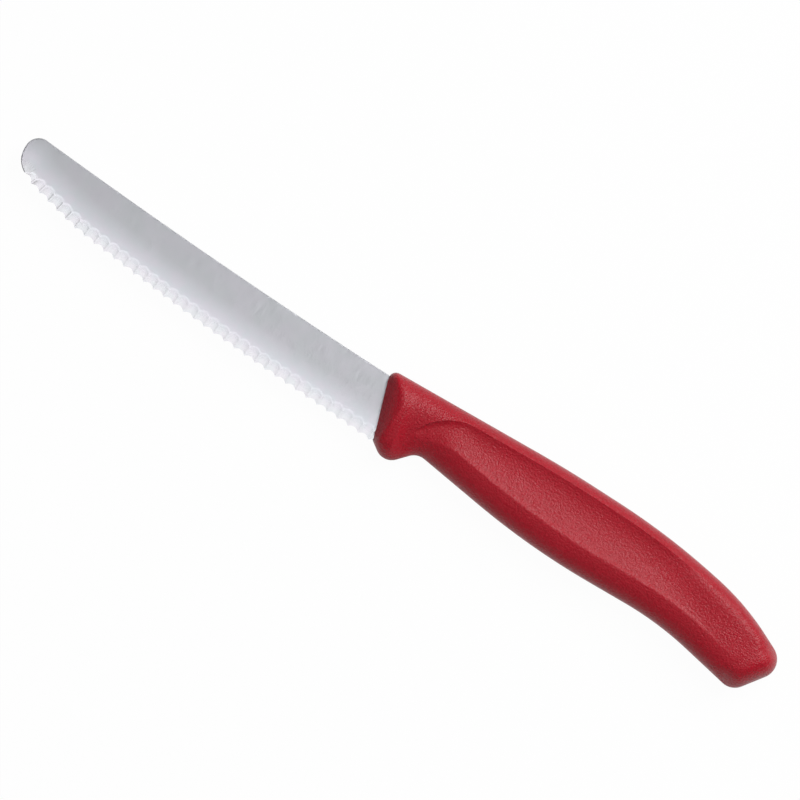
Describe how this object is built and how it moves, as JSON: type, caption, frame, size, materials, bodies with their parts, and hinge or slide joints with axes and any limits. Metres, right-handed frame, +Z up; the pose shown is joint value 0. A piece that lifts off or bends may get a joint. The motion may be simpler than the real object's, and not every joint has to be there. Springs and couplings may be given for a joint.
{
  "type": "serrated paring knife",
  "caption": "Serrated paring knife with a round-nosed, wavy-edged steel blade whose hidden tang is moulded into a contoured red plastic handle.",
  "frame": {"origin": "middle of the lying knife's outline, on the surface it lies on", "axes": "+X from the blade's tip to the handle's butt, +Y from the edge to the spine, +Z up, square to the blade's left face"},
  "size_m": [0.226, 0.0238, 0.0132],
  "materials": {
    "blade_steel": "finely ground satin stainless steel, with a hollow-ground wavy edge on one face",
    "handle_plastic": "fine spark-eroded grain, moulded in red"
  },
  "bodies": {
    "root": {"blade": "blade_steel", "handle": "handle_plastic"}
  },
  "joints": []
}
